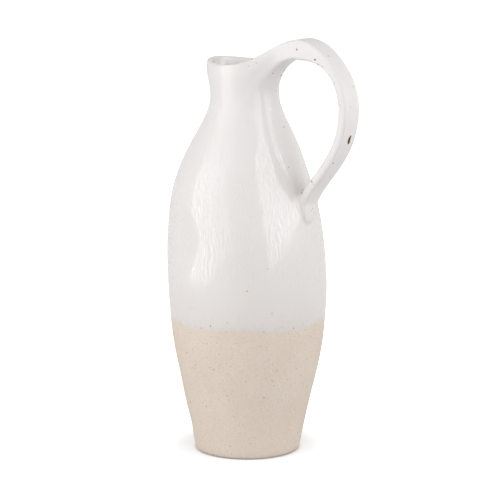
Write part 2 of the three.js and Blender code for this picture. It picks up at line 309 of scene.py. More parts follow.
coat = {
    "out": 0.9,  # face of the glaze over the clay
    "edgeOut": 0.18,  # at the dip line
    "fullHeight": 150,  # from here up the coat is full
    "thick": 0.5,
    "dipHeight": 122.6, "dipWave": 1.3, "dipTurn": -0.995, "dipWaves": 5, "dipTilt": 0.6,
    "columns": 32, "crestSteps": 4, "cornerSteps": 4,
    "above": [126.5, 132, 140, 152, 166, 180, 192, 201],  # rings of the wall over the dip line
    "tail": (208, 245, 8),  # rings that the strap's lower end opens: bottom, top, count
    "shoulder": [250, 258, 267, 276, 286, 295, 303.5, 311.5, 319],
    "root": [326, 335, 344],  # with the lip's crest, the rings that the strap's upper end opens
    "lining": [346, 338, 326, 312, 296, 278, 258, 236, 212, 186, 160, 134, 108, 82, 58, 38],
    "rootReach": 3, "tailReach": 1,  # columns to each side that the openings take
    "rootSpread": 0.6, "spreadStart": 280,  # columns moved apart round the root, from this height
    "tailPull": 0.35, "tailShift": 0.053,  # columns drawn together and along at the tail
    "tailZone": (160, 205, 245, 290),  # heights where that sets in, is full, still is full, ends
    # rounded corners of the opening at the root: row and column, lift, narrowing
    "rootRound": {(0, 3): (5.5, 0.86), (0, 2): (1.5, 0.97), (1, 3): (2, 0.96)},
    # thin glaze: rings from the dip line up, rim, edge beads of the strap with their places in its section
    "dipThin": (1, 0.6, 0.36, 0.24, 0.1), "rimThin": 0.3, "beadThin": 0.12, "beads": (3, 4),
    "seamReach": 4,  # points to each side of the tongue's tip
    "strapFade": 5,  # rings over which the wall's gloss becomes the strap's
    "fitRounds": 6, "fitShare": 0.9,
    "smoothLevels": 2, "sharpAngle": 50,
}


def wallFace(z):
    return radiusAt(outside, z) + swayAt(z) * cos(vessel["swayTurn"]) + coat["out"]


# four runs: rim to apex, apex to the loop's outer side, from there to the shoulder, tongue
def strapRuns():
    s, v = strap, vessel
    rootZ = v["lipHeight"] - s["rootDrop"]
    seatZ = v["neckHeight"] - s["seatDrop"]
    endZ = seatZ - s["tongueLength"]
    root = (wallFace(rootZ) - s["rootInset"], rootZ)
    apex = (v["neckRadius"] + s["apexOut"], v["lipHeight"] + s["apexRise"])
    loop = (v["neckRadius"] + s["loopOut"], v["lipHeight"] - s["loopDrop"])
    seat = (wallFace(seatZ) + s["tongueProud"], seatZ)
    end = (wallFace(endZ) + s["tongueEndProud"] * s["tongueProud"], endZ)
    across, drop, fall = loop[0] - apex[0], apex[1] - loop[1], loop[1] - seat[1]
    climbOut, apexBack = s["rootPull"]
    fallDown, seatUp = s["fallPull"]
    tongueIn, tongueAlong = s["tonguePull"]
    return [
        [root, (root[0] + climbOut * s["rootClimb"], root[1] + s["rootClimb"]),
         (apex[0] - apexBack * (apex[0] - root[0]), apex[1]), apex],
        [apex, (apex[0] + s["loopRound"] * across, apex[1]),
         (loop[0], loop[1] + s["loopRound"] * drop), loop],
        [loop, (loop[0], loop[1] - fallDown * fall),
         (seat[0] + s["tailBow"], seat[1] + seatUp * fall), seat],
        [seat, (seat[0] - tongueIn * s["tongueProud"], seat[1] - tongueAlong * s["tongueLength"]),
         (end[0], end[1] + tongueAlong * s["tongueLength"]), end],
    ]


# each run as evenly spaced points, so that a share of it is a share of its length
def evenRuns():
    count, samples = strap["pathPoints"], strap["pathSamples"]
    even = []
    for run in strapRuns():
        points = [Vector(onCurve(run, i / samples)) for i in range(samples + 1)]
        travelled = [0]
        for a, b in zip(points, points[1:]):
            travelled.append(travelled[-1] + (b - a).length)
        row, k = [], 0
        for i in range(count + 1):
            goal = travelled[-1] * i / count
            while k < samples - 1 and travelled[k + 1] < goal:
                k += 1
            share = (goal - travelled[k]) / (travelled[k + 1] - travelled[k])
            row.append(points[k].lerp(points[k + 1], share))
        even.append(row)
    return even


strapPath = evenRuns()


# a station counts the runs: 1.5 is halfway along the second
def strapStation(station):
    run = min(int(station), len(strapPath) - 1)
    share = station - run
    row = strapPath[run]
    spot = share * (len(row) - 1)
    k = min(int(spot), len(row) - 2)
    return run, share, row[k].lerp(row[k + 1], spot - k), (row[k + 1] - row[k]).normalized()


def strapSize(run, share):
    s = strap
    if run == 0:
        flare = (1 - share) ** s["rootFlare"]
        width, thick = [mix(a, b, flare) for a, b in zip(s["apexSize"], s["rootSize"])]
        return width, thick - s["rootWaist"] * sin(pi * share)
    if run == 1:
        return [mix(a, b, smooth(0, s["taperEnd"], share)) for a, b in zip(s["apexSize"], s["loopSize"])]
    if run == 2:
        return [mix(a, b, share) for a, b in zip(s["loopSize"], s["seatSize"])]
    width = mix(s["tongueSize"][0], s["seatSize"][0], sqrt(1 - share * share))
    return width, mix(s["seatSize"][1], s["tongueSize"][1], smooth(0, 1, share))


# one point of the strap's glazed skin
def strapPoint(station, across, out, turn):
    run, share, centre, along = strapStation(station)
    width, thick = strapSize(run, share)
    wrap = (1 - share) ** 2 if run == 0 else 0
    wide, high = mix(across, sin(turn), wrap), mix(out, cos(turn), wrap)
    neck = vessel["neckRadius"]
    reach = min((wide * width / 2) ** 2, strap["wrapLimit"] * neck**2)
    back = wrap * (neck - sqrt(neck**2 - reach))
    rise = high * (thick / 2 + coat["out"])
    aside = strap["tailAside"] * smooth(2, 3, station)  # over the run down to the shoulder
    return Vector((centre.x - along.y * rise - back, wide * (width / 2 + coat["out"]) + aside,
                   centre.y + along.x * rise))


def sectionAt(station):
    flat = smooth(*strap["flatten"], station)
    pairs = zip(strap["section"], strap["flatSection"])
    half = [(mix(a, b, flat), mix(c, d, flat)) for (a, c), (b, d) in pairs]
    return half + [(-across, out) for across, out in reversed(half[1:-1])]


def strapSlice(outer, inner):
    ring = []
    section = sectionAt(outer)
    for i, (across, out) in enumerate(section):
        station = mix(outer, inner, (1 - out) / 2)
        ring.append(strapPoint(station, across, out, 2 * pi * i / len(section)))
    return ring


# rings that leave the neck along its own surface and turn into the strap
def rootRings(start, normals):
    s = strap
    outer, inner = s["slices"][0]
    end = strapSlice(outer, inner)
    rings = [[] for _ in s["rootShares"]]
    for i, (a, b, normal) in enumerate(zip(start, end, normals)):
        out = sectionAt(outer)[i][1]
        along = strapStation(mix(outer, inner, (1 - out) / 2))[3]
        span = b - a
        leave = (span - normal * span.dot(normal)) * s["rootSweep"]
        arrive = Vector((along.x, 0, along.y)) * span.length * s["rootSweep"]
        for ring, t in zip(rings, s["rootShares"]):
            ring.append((2 * t**3 - 3 * t * t + 1) * a + (t**3 - 2 * t * t + t) * leave
                        + (3 * t * t - 2 * t**3) * b + (t**3 - t * t) * arrive)
    return rings


# a point on the glazed wall under the strap's lower end
def onWall(side, z, proud):
    v = vessel
    sway = swayAt(z)
    r = radiusAt(outside, z) + coat["out"]
    y = strap["tailAside"] + side - sway * sin(v["swayTurn"])
    r += lumpsAt(Vector((sqrt(r * r - y * y), y, z))) + proud
    return Vector((sqrt(r * r - y * y) + sway * cos(v["swayTurn"]), strap["tailAside"] + side, z))


def tongueRing(half):
    right = [onWall(side, z, proud * strap["farSideProud"]) for side, z, proud in half]
    left = [onWall(-side, z, proud) for side, z, proud in half]
    return right + left[-2:0:-1]


# where a smoothed cage ends up, for one of its points
def limitPoint(vert):
    if vert.is_boundary:
        ends = [e.other_vert(vert).co for e in vert.link_edges if e.is_boundary]
        return (ends[0] + ends[1] + 4 * vert.co) / 6
    count = len(vert.link_edges)
    near = sum((e.other_vert(vert).co for e in vert.link_edges), Vector())
    far = sum((loop.link_loop_next.link_loop_next.vert.co for loop in vert.link_loops), Vector())
    return (count * count * vert.co + 4 * near + far) / (count * (count + 5))


# move the cage so that its smoothed surface passes through the points it was drawn with
def fitCage(bm):
    goal = {vert: vert.co.copy() for vert in bm.verts}
    plain = [vert for vert in bm.verts if all(len(f.verts) == 4 for f in vert.link_faces)]
    for _ in range(coat["fitRounds"]):
        moves = [(vert, goal[vert] - limitPoint(vert)) for vert in plain]
        for vert, move in moves:
            vert.co += coat["fitShare"] * move


def loopEdges(bm, ring):
    return [bm.edges.get(pair) for pair in zip(ring, ring[1:] + ring[:1])]


# draw a ring of edges out to new places
def drawOn(bm, ring, spots):
    made = bmesh.ops.extrude_edge_only(bm, edges=loopEdges(bm, ring))["geom"]
    fresh = {part for part in made if isinstance(part, bmesh.types.BMVert)}
    drawn = []
    for vert, spot in zip(ring, spots):
        ends = [edge.other_vert(vert) for edge in vert.link_edges]
        drawn.append(next(end for end in ends if end in fresh))
        drawn[-1].co = spot
    return drawn


# the glaze from the dip line over the lip and down to the middle of the floor
def coatProfile(wall):
    c = coat
    profile = [(radiusAt(outside, c["dipHeight"]) + c["edgeOut"], c["dipHeight"])]
    for z in wall:
        out = mix(c["edgeOut"], c["out"], smooth(c["dipHeight"], c["fullHeight"], z))
        profile.append((radiusAt(outside, z) + out, z))
    profile += lipArc(c["out"], c["crestSteps"])
    profile += [(radiusAt(inside, z) - c["out"], z) for z in c["lining"]]
    return profile + floorCorner(c["out"], c["cornerSteps"])[1:] + [(0, vessel["floor"] + c["out"])]


# the points of the turned cage by ring and column
def sortCage(bm, profile):
    columns = coat["columns"]
    half = columns // 2
    grid = {}
    for vert in bm.verts:
        r = hypot(vert.co.x, vert.co.y)
        away = [hypot(ringR - r, ringZ - vert.co.z) for ringR, ringZ in profile]
        column = round(atan2(vert.co.y, vert.co.x) / (2 * pi) * columns)
        grid[away.index(min(away)), (column + half) % columns - half] = vert
    return grid


# wavy dip line, columns spread round the broad root of the strap and drawn in at its tail
def shapeCage(grid, rootFirst):
    c = coat
    start, full, fullEnd, end = c["tailZone"]
    for (ring, column), vert in grid.items():
        r, turn, z = hypot(vert.co.x, vert.co.y), atan2(vert.co.y, vert.co.x), vert.co.z
        if ring == 0:
            z += c["dipWave"] * (cos(c["dipWaves"] * (turn - c["dipTurn"])) - c["dipTilt"] * cos(turn))
            r = radiusAt(outside, z) + c["edgeOut"]
        atRoot = smooth(c["spreadStart"], c["root"][0], z)
        turn += c["rootSpread"] * sin(turn) * (1 + cos(turn)) / 2 * atRoot
        lift, squeeze = c["rootRound"].get((ring - rootFirst, abs(column)), (0, 1))
        z += lift
        turn *= squeeze
        nearTail = smooth(start, full, z) * (1 - smooth(fullEnd, end, z))
        turn -= (c["tailPull"] * sin(turn) - c["tailShift"]) * max(cos(turn), 0) * nearTail
        vert.co = (r * cos(turn), r * sin(turn), z)


# the points round an opening, in the order of the strap's section
def openRing(grid, top, bottom, reach):
    step = 1 if bottom > top else -1
    halves = []
    for side in (1, -1):
        half = [(top, side * k) for k in range(reach + 1)]
        half += [(row, side * reach) for row in range(top + step, bottom, step)]
        halves.append(half + [(bottom, side * k) for k in range(reach, -1, -1)])
    right, left = halves
    return [grid[key] for key in right + left[-2:0:-1]]


# smooth the cage, give it thickness and keep its cut edges sharp
def bakeSkin(skin):
    c = coat
    rounding = skin.modifiers.new("smooth", "SUBSURF")
    rounding.levels = rounding.render_levels = c["smoothLevels"]
    thickness = skin.modifiers.new("thickness", "SOLIDIFY")
    thickness.thickness = c["thick"] * mm
    thickness.offset = -1
    bpy.context.view_layer.update()
    graph = bpy.context.evaluated_depsgraph_get()
    ready = bpy.data.meshes.new_from_object(skin.evaluated_get(graph))
    ready.set_sharp_from_angle(angle=radians(c["sharpAngle"]))
    skin.modifiers.clear()
    skin.data = ready


# take out the faces under both ends of the strap
def cutOpenings(bm, grid, openings):
    opened = []
    for first, last, reach in openings:
        area = {grid[ring, k] for ring in range(first, last + 1) for k in range(-reach, reach + 1)}
        opened += [face for face in bm.faces if all(vert in area for vert in face.verts)]
    bmesh.ops.delete(bm, geom=opened, context="FACES")


# draw the strap out of the rim, slice by slice, as far as the edge of its tongue
def drawStrap(bm, rootRing, marks):
    c = coat
    normals = []
    for i, vert in enumerate(rootRing):
        onRim = i <= c["rootReach"] or i >= len(rootRing) - c["rootReach"]
        normals.append(Vector((0, 0, 1)) if onRim else Vector((vert.co.x, vert.co.y, 0)).normalized())
    rings = rootRings([vert.co.copy() for vert in rootRing], normals)
    rings += [strapSlice(*pair) for pair in strap["slices"]] + [tongueRing(strap["tongueEdge"])]
    ring = rootRing
    for k, spots in enumerate(rings):
        ring = drawOn(bm, ring, spots)
        for vert in ring:
            vert[marks["strapSkin"]] = min((k + 1) / c["strapFade"], 1)
        for i in c["beads"]:
            ring[i][marks["thinGlaze"]] = ring[-i][marks["thinGlaze"]] = c["beadThin"]
    for i in range(-c["seamReach"], c["seamReach"] + 1):
        ring[i][marks["seamLine"]] = 1
    return ring


# thin glaze at the dip line and on the rim, and the lining, which is coloured paler as painted light
# inside the mouth
def markCoat(grid, crestRing, marks):
    c = coat
    for (row, _), vert in grid.items():
        if not vert.is_valid:
            continue
        if row < len(c["dipThin"]):
            vert[marks["thinGlaze"]] = c["dipThin"][row]
        elif row in (crestRing - 1, crestRing):
            vert[marks["thinGlaze"]] = c["rimThin"]
        elif row > crestRing + 1:
            vert[marks["liningPaintedLight"]] = 1


def makeGlazeSkin():
    c = coat
    low, high, count = c["tail"]
    tailRings = [mix(low, high, i / count) for i in range(count + 1)]
    wall = c["above"] + tailRings + c["shoulder"] + c["root"]
    rootFirst = len(wall) - len(c["root"]) + 1
    crestRing = len(wall) + c["crestSteps"] // 2
    tailFirst = len(c["above"]) + 1
    tailLast = tailFirst + count
    bm = bmesh.new()
    labels = ("thinGlaze", "seamLine", "strapSkin", "liningPaintedLight")
    for label in labels:
        bm.verts.layers.float.new(label)
    marks = {label: bm.verts.layers.float[label] for label in labels}
    profile = coatProfile(wall)
    throwProfile(bm, profile, c["columns"])
    grid = sortCage(bm, profile)
    shapeCage(grid, rootFirst)
    handWork(bm.verts)
    rootRing = openRing(grid, crestRing, rootFirst, c["rootReach"])
    tailRing = openRing(grid, tailFirst, tailLast, c["tailReach"])
    cutOpenings(bm, grid, [(rootFirst, crestRing, c["rootReach"]), (tailFirst, tailLast, c["tailReach"])])
    tongue = drawStrap(bm, rootRing, marks)
    for vert, spot in zip(tailRing, tongueRing(strap["tongueFoot"])):
        vert.co = spot
    bmesh.ops.bridge_loops(bm, edges=loopEdges(bm, tongue) + loopEdges(bm, tailRing))
    bmesh.ops.recalc_face_normals(bm, faces=bm.faces)
    markCoat(grid, crestRing, marks)
    fitCage(bm)
    skin = finishPiece(bm, "glazeSkin")
    bakeSkin(skin)
    return skin


# clay of the strap, a little inside its glaze, with both ends sunk into the vessel
def makeClayStrap():
    s = strap
    rings = [(strapSlice(station, station), s["clayRootShare"]) for station in s["clayRoot"]]
    rings += [(strapSlice(*pair), s["clayShare"]) for pair in s["slices"]]
    sunk = [(side, z, -s["clayTailSunk"]) for side, z, _ in s["tongueEdge"]]
    rings.append((tongueRing(sunk), s["clayTailShare"]))
    shell = []
    for ring, share in rings:
        middle = sum(ring, Vector()) / len(ring)
        shell.append([middle.lerp(spot, share) for spot in ring])
    bm = bmesh.new()
    line = [bm.verts.new(spot) for spot in shell[0]]
    edges = [bm.edges.new(pair) for pair in zip(line, line[1:] + line[:1])]
    bmesh.ops.edgeloop_fill(bm, edges=edges)
    for spots in shell[1:]:
        line = drawOn(bm, line, spots)
    bmesh.ops.edgeloop_fill(bm, edges=loopEdges(bm, line))
    bmesh.ops.recalc_face_normals(bm, faces=bm.faces)
    return finishPiece(bm, "clayStrap")


clayStrap = makeClayStrap()
print("clay strap drawn:", len(clayStrap.data.polygons), "faces")
glazeSkin = makeGlazeSkin()
print("glaze skin drawn:", len(glazeSkin.data.polygons), "faces")


# materials, lengths in metres where no other unit is named

def addNode(tree, kind, **values):
    made = tree.nodes.new(kind)
    for key, value in values.items():
        setattr(made, key, value)
    return made


def setInputs(made, **values):
    for key, value in values.items():
        made.inputs[key.replace("_", " ")].default_value = value


def join(tree, a, b):
    tree.links.new(a, b)


def feed(tree, socket, value):
    if isinstance(value, (tuple, float, int)):
        socket.default_value = value
    else:
        join(tree, value, socket)


def srgb(r, g, b):
    def linear(c):
        c /= 255
        return c / 12.92 if c <= 0.04045 else ((c + 0.055) / 1.055) ** 2.4
    return linear(r), linear(g), linear(b), 1


def noiseNode(tree, vector, scale, detail=2, rough=0.5):
    made = addNode(tree, "ShaderNodeTexNoise")
    setInputs(made, Scale=scale, Detail=detail, Roughness=rough)
    join(tree, vector, made.inputs["Vector"])
    return made.outputs["Fac"]


def rangeNode(tree, value, low, high, toLow=0.0, toHigh=1.0):
    made = addNode(tree, "ShaderNodeMapRange", interpolation_type="SMOOTHSTEP")
    setInputs(made, From_Min=low, From_Max=high, To_Min=toLow, To_Max=toHigh)
    join(tree, value, made.inputs["Value"])
    return made.outputs["Result"]


def mathNode(tree, operation, a, b):
    made = addNode(tree, "ShaderNodeMath", operation=operation)
    for socket, value in zip(made.inputs, (a, b)):
        feed(tree, socket, value)
    return made.outputs[0]


def times(tree, a, b):
    return mathNode(tree, "MULTIPLY", a, b)


# sockets 6, 7 and 2 are the colours of this node
def mixColour(tree, share, a, b):
    made = addNode(tree, "ShaderNodeMix", data_type="RGBA")
    for socket, value in (("Factor", share), (6, a), (7, b)):
        feed(tree, made.inputs[socket], value)
    return made.outputs[2]


def markNode(tree, label):
    return addNode(tree, "ShaderNodeAttribute", attribute_name=label).outputs["Fac"]


def newMaterial(name):
    material = bpy.data.materials.new(name)
    material.use_nodes = True
    tree = material.node_tree
    tree.nodes.clear()
    out = addNode(tree, "ShaderNodeOutputMaterial")
    shader = addNode(tree, "ShaderNodeBsdfPrincipled")
    join(tree, shader.outputs[0], out.inputs["Surface"])
    place = addNode(tree, "ShaderNodeTexCoord").outputs["Object"]
    return material, tree, shader, place


def addBump(tree, shader, height, distance):
    bump = addNode(tree, "ShaderNodeBump")
    setInputs(bump, Strength=1.0, Distance=distance)
    join(tree, height, bump.inputs["Height"])
    join(tree, bump.outputs["Normal"], shader.inputs["Normal"])
    return bump.outputs["Normal"]


def newGroup(name, inputs, outputs):
    group = bpy.data.node_groups.new(name, "ShaderNodeTree")
    for label, kind, value in inputs:
        socket = group.interface.new_socket(label, in_out="INPUT", socket_type=kind)
        if value is not None:
            socket.default_value = value
    for label, kind in outputs:
        group.interface.new_socket(label, in_out="OUTPUT", socket_type=kind)
    return group, addNode(group, "NodeGroupInput"), addNode(group, "NodeGroupOutput")


def useGroup(tree, group, place, **values):
    made = addNode(tree, "ShaderNodeGroup", node_tree=group)
    setInputs(made, **values)
    join(tree, place, made.inputs["Vector"])
    return made


speck = {
    "scale": 200.0, "share": 0.2, "size": 0.25,  # unless a material says otherwise
    "leastSize": 0.4,  # added to a random share of the size
    "raggedFineness": 3.0, "ragged": 0.25,
}


# iron specks: a few of the cells of a Voronoi field hold a small ragged grain
def makeSpeckGroup():
    group, start, end = newGroup(
        "ironSpecks",
        [("Vector", "NodeSocketVector", None), ("Scale", "NodeSocketFloat", speck["scale"]),
         ("Share", "NodeSocketFloat", speck["share"]), ("Size", "NodeSocketFloat", speck["size"])],
        [("Mask", "NodeSocketFloat"), ("Tone", "NodeSocketFloat")])
    ragged = addNode(group, "ShaderNodeTexNoise")
    join(group, start.outputs["Vector"], ragged.inputs["Vector"])
    fineness = times(group, start.outputs["Scale"], speck["raggedFineness"])
    join(group, fineness, ragged.inputs["Scale"])
    cells = addNode(group, "ShaderNodeTexVoronoi")
    join(group, start.outputs["Vector"], cells.inputs["Vector"])
    join(group, start.outputs["Scale"], cells.inputs["Scale"])
    # a cell's random colour: red picks it, green sizes its grain, blue tones it
    split = addNode(group, "ShaderNodeSeparateColor")
    join(group, cells.outputs["Color"], split.inputs[0])
    size = mathNode(group, "ADD", split.outputs[1], speck["leastSize"])
    size = times(group, start.outputs["Size"], size)
    edge = mathNode(group, "SUBTRACT", ragged.outputs["Fac"], 0.5)
    edge = times(group, edge, speck["ragged"])
    edge = mathNode(group, "ADD", cells.outputs["Distance"], edge)
    inGrain = mathNode(group, "LESS_THAN", edge, size)
    picked = mathNode(group, "LESS_THAN", split.outputs[0], start.outputs["Share"])
    join(group, times(group, inGrain, picked), end.inputs["Mask"])
    join(group, split.outputs[2], end.inputs["Tone"])
    return group


mottle = {"scale": 20.0, "detail": 3.0, "rough": 0.55, "edge": (0.3, 0.7)}


# slow change of tone from the kiln
def makeMottleGroup():
    group, start, end = newGroup(
        "kilnMottle",
        [("Vector", "NodeSocketVector", None), ("Scale", "NodeSocketFloat", mottle["scale"])],
        [("Value", "NodeSocketFloat")])
    broad = addNode(group, "ShaderNodeTexNoise")
    setInputs(broad, Detail=mottle["detail"], Roughness=mottle["rough"])
    join(group, start.outputs["Vector"], broad.inputs["Vector"])
    join(group, start.outputs["Scale"], broad.inputs["Scale"])
    join(group, rangeNode(group, broad.outputs["Fac"], *mottle["edge"]), end.inputs["Value"])
    return group


speckGroup = makeSpeckGroup()
mottleGroup = makeMottleGroup()


# lay specks of a mixed tone over a colour
def addSpecks(tree, colour, mask, most, tone, shades):
    shade = mixColour(tree, tone, *shades)
    return mixColour(tree, times(tree, mask, most), colour, shade)


glazeLook = {
    "white": srgb(228, 225.5, 224),
    "warm": srgb(227, 222, 219), "warmth": (0.33, 0.16, 0.0, 0.7),  # less white lower down
    "mottleScale": 22.0, "mottleShare": 0.3,
    "lining": srgb(240, 237, 235),  # painted light: paler than the outer glaze, standing in for light reaching inside the mouth
    "thin": srgb(218, 209, 202),
    "unevenScale": 260.0, "uneven": (0.3, 0.7, 0.55, 1.0),
    "seam": srgb(220, 212, 206), "seamEdge": (0.65, 0.95),
    "rust": srgb(160, 100, 56),
    "iron": srgb(62, 28, 16),
    "straw": srgb(212, 192, 134), "halo": (0.0007, 0.0001),
    # specks everywhere and on thin glaze: cells, then how strong they get
    "sparse": {"Scale": 110.0, "Share": 0.03, "Size": 0.08}, "sparseMost": 0.85,
    "edge": {"Scale": 420.0, "Share": 0.2, "Size": 0.17}, "edgeMost": 0.6, "edgeThin": (0.3, 0.75),
    "roughness": (0.25, 0.75, 0.3, 0.4), "cloudScale": 90.0,
    "ior": 1.5, "specular": 0.08, "coatIor": 1.45, "coatRoughness": 0.03,
    # sharp gloss: full on the belly and up the handle side, dull on the shoulder, bright again on the neck
    "glossTop": (0.281, 0.258), "glossFoot": (0.14, 0.175), "dull": 0.1,
    "glossSide": (0.02, 0.034), "sideTop": (0.335, 0.305),
    "neckSlope": (-1.2, 0.0, 1.0), "neckEdge": (0.315, 0.35), "neckGloss": 0.4,
    "strapEdge": (0.1, 0.5), "strapGloss": 0.16,
    # fine lines that run down the belly and wander
    "wrinkleCount": 142, "wrinkleEdge": (0.4, 1.0),
    "breaks": (0.35, 0.65, 0.32, 1.0), "breakScale": 370.0,
    "wander": 15.0, "wanderScale": 48.0, "wiggle": 3.2, "wiggleScale": 200.0,
    "ripple": 0.0002, "rippleScale": 95.0,
    "spotEdge": (0.0002, -0.0003), "ragged": 0.0004, "raggedScale": 900.0,
    # larger spots: pixel of the photo, radius in mm
    "ironSpots": [
        (350.4, 136.8, 1.0), (350.1, 137.7, 1.2), (349.6, 138.7, 1.5), (349.2, 139.7, 1.6),
        (349, 140.7, 1.4), (348.9, 141.7, 1.4), (348.8, 142.8, 1.3), (311.8, 181.6, 0.4),
        (281.1, 75.4, 0.6), (301.6, 193.1, 0.5), (251.8, 59.3, 0.45), (213.8, 61.8, 0.4),
        (315, 59.6, 0.5)],
    "rustSpots": [
        (296.8, 49.6, 0.9), (318.6, 64.8, 0.5), (322, 66.3, 0.5), (328.3, 55.9, 0.5),
        (333.3, 163.2, 0.9), (289, 167.4, 0.6), (272.9, 73.3, 0.6), (276.1, 91.3, 0.5),
        (283.9, 127, 0.7), (210.8, 326.3, 0.6), (271.9, 313.7, 0.45), (329.9, 176.9, 0.6),
        (313.3, 184, 0.55), (309.9, 208.9, 0.42), (311.8, 210.5, 0.48), (312.6, 208.4, 0.42),
        (248.6, 66, 0.4), (267.3, 268.8, 0.38), (227.3, 322.6, 0.5), (201.4, 328.1, 0.5),
        (293.7, 328.3, 0.5)],
    "strawSpots": [
        (353.3, 86.6, 0.85), (350.7, 107.3, 0.6), (247, 291.5, 1), (227.6, 255.4, 0.45),
        (192, 307.4, 0.7), (259.8, 87.1, 0.35), (334.3, 82.9, 0.6), (340, 105.5, 0.7),
        (321.4, 167.4, 0.6), (256.4, 63.2, 0.6), (248.2, 122.5, 0.35)],
}


# the place on the glaze that a pixel of the photo shows
def onSkin(bvh, u, v):
    camera = bpy.context.scene.camera
    half = camera.data.sensor_width / 2
    middle = shot["photoWidth"] / 2
    ray = Vector((half * (u / middle - 1), half * (1 - v / middle), -camera.data.lens))
    return bvh.ray_cast(camera.matrix_world.translation, camera.matrix_world.to_quaternion() @ ray)[0]


# how near the closest of some spots is, counted from its edge
def spotField(tree, place, spots, bvh):
    nearest = 1.0
    for u, v, radius in spots:
        away = addNode(tree, "ShaderNodeVectorMath", operation="DISTANCE")
        away.inputs[1].default_value = onSkin(bvh, u, v)
        join(tree, place, away.inputs[0])
        fromEdge = mathNode(tree, "SUBTRACT", away.outputs["Value"], radius * mm)
        nearest = mathNode(tree, "MINIMUM", nearest, fromEdge)
    return nearest


def glazeColour(tree, place, height):
    g = glazeLook
    tone = useGroup(tree, mottleGroup, place, Scale=g["mottleScale"]).outputs["Value"]
    tint = mathNode(tree, "ADD", rangeNode(tree, height, *g["warmth"]),
                    times(tree, tone, g["mottleShare"]))
    colour = mixColour(tree, tint, g["white"], g["warm"])
    # painted light: the lining gets a paler colour in place of light reaching inside the mouth
    colour = mixColour(tree, markNode(tree, "liningPaintedLight"), colour, g["lining"])

    # thinner glaze at the dip line and on edges lets the clay through
    thin = markNode(tree, "thinGlaze")
    uneven = rangeNode(tree, noiseNode(tree, place, g["unevenScale"], detail=3), *g["uneven"])
    colour = mixColour(tree, times(tree, thin, uneven), colour, g["thin"])
    seam = rangeNode(tree, markNode(tree, "seamLine"), *g["seamEdge"])
    colour = mixColour(tree, times(tree, seam, uneven), colour, g["seam"])

    # sparse specks everywhere, more of them where the glaze is thin
    shades = (g["iron"], g["rust"])
    sparse = useGroup(tree, speckGroup, place, **g["sparse"]).outputs
    colour = addSpecks(tree, colour, sparse["Mask"], g["sparseMost"], sparse["Tone"], shades)
    edge = useGroup(tree, speckGroup, place, **g["edge"]).outputs["Mask"]
    nearEdge = times(tree, edge, rangeNode(tree, thin, *g["edgeThin"]))
    return addSpecks(tree, colour, nearEdge, g["edgeMost"], 1.0, shades)


# the larger spots over a colour, and where the dark ones lie
def addSpots(tree, place, colour):
    g = glazeLook
    ragged = rangeNode(tree, noiseNode(tree, place, g["raggedScale"]), 0.0, 1.0, -g["ragged"], g["ragged"])
    bpy.context.view_layer.update()
    bvh = BVHTree.FromObject(glazeSkin, bpy.context.evaluated_depsgraph_get())
    for tone in ("straw", "rust", "iron"):
        field = mathNode(tree, "ADD", spotField(tree, place, g[tone + "Spots"], bvh), ragged)
        if tone == "iron":
            # a rusty rim round the dark ones
            colour = mixColour(tree, rangeNode(tree, field, *g["halo"]), colour, g["rust"])
        inSpot = rangeNode(tree, field, *g["spotEdge"])
        colour = mixColour(tree, inSpot, colour, g[tone])
    return colour, inSpot


# fine broken lines that are drawn out downwards
def wrinkleLines(tree, place, split):
    g = glazeLook
    turn = mathNode(tree, "ARCTAN2", split.outputs["Y"], split.outputs["X"])
    phase = times(tree, turn, g["wrinkleCount"] / 2)
    for drift in ("wander", "wiggle"):
        drifted = noiseNode(tree, place, g[drift + "Scale"], detail=1)
        phase = mathNode(tree, "ADD", phase, times(tree, drifted, g[drift]))
    ridge = mathNode(tree, "ABSOLUTE", mathNode(tree, "SINE", phase, 0.0), 0.0)
    broken = rangeNode(tree, noiseNode(tree, place, g["breakScale"], detail=1), *g["breaks"])
    return times(tree, rangeNode(tree, ridge, *g["wrinkleEdge"]), broken)


# how strong the sharp gloss is: crossed by lines on the belly, weaker on the rest
def glazeGloss(tree, place, split):
    g = glazeLook
    height = split.outputs["Z"]
    strapShare = rangeNode(tree, markNode(tree, "strapSkin"), *g["strapEdge"])
    offStrap = mathNode(tree, "SUBTRACT", 1.0, strapShare)
    side = times(tree, rangeNode(tree, split.outputs["X"], *g["glossSide"]),
                 rangeNode(tree, height, *g["sideTop"]))
    belly = mathNode(tree, "MAXIMUM", rangeNode(tree, height, *g["glossTop"]), side)
    for limit in (offStrap, rangeNode(tree, height, *g["glossFoot"])):
        belly = times(tree, belly, limit)
    wrinkled = times(tree, belly, wrinkleLines(tree, place, split))
    plain = times(tree, mathNode(tree, "SUBTRACT", 1.0, belly), g["dull"])
    reach = addNode(tree, "ShaderNodeVectorMath", operation="DOT_PRODUCT")
    reach.inputs[1].default_value = g["neckSlope"]
    join(tree, place, reach.inputs[0])
    neck = rangeNode(tree, reach.outputs["Value"], *g["neckEdge"])
    neck = times(tree, neck, g["neckGloss"])
    bright = mathNode(tree, "ADD", times(tree, neck, offStrap),
                      times(tree, strapShare, g["strapGloss"]))
    return mathNode(tree, "MAXIMUM", mathNode(tree, "ADD", wrinkled, plain), bright)


